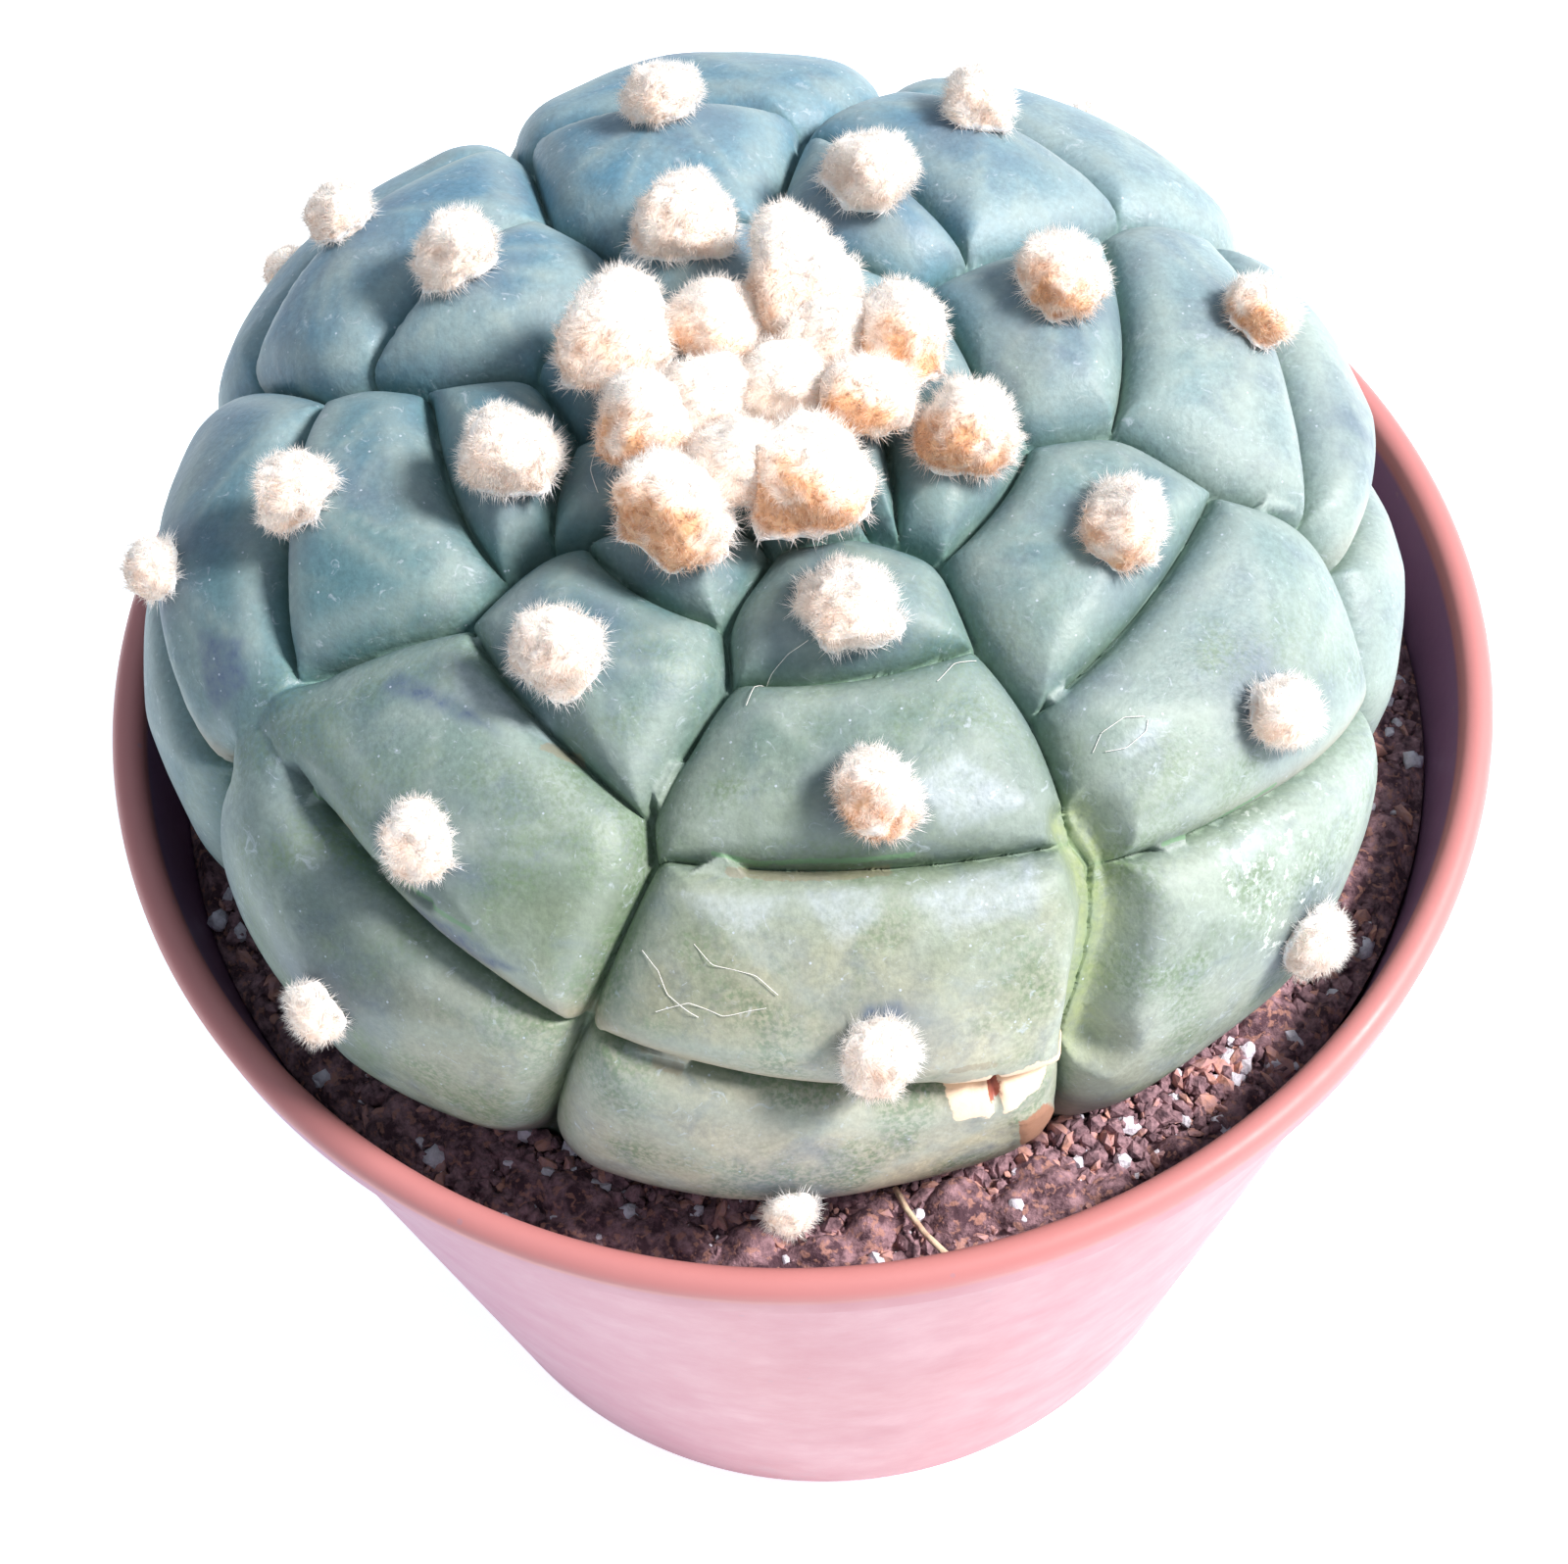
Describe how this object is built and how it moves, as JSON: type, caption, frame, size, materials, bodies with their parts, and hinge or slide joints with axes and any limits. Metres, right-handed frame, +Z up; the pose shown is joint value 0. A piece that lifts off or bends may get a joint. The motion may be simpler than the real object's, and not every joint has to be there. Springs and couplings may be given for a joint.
{
  "type": "potted star cactus",
  "caption": "Low round spineless cactus with segmented ribs and woolly tufts, growing in a soil-filled round plastic nursery pot with a rolled lip.",
  "frame": {"origin": "middle of the pot's foot, on the surface that the pot stands on", "axes": "+Z up along the pot's axis; -Y is the front, the side seen in the reference view"},
  "size_m": [0.085, 0.085, 0.0963],
  "materials": {
    "terracotta_plastic": "satin moulded plastic",
    "peat_and_grit": "crumbly peat with mineral grit",
    "cactus_skin": "waxy skin with a matte bloom",
    "areole_wool": "dense short wool"
  },
  "bodies": {
    "root": {"pot": "terracotta_plastic", "soil": "peat_and_grit", "cactus": "cactus_skin", "crown_wool": "areole_wool"}
  },
  "joints": []
}
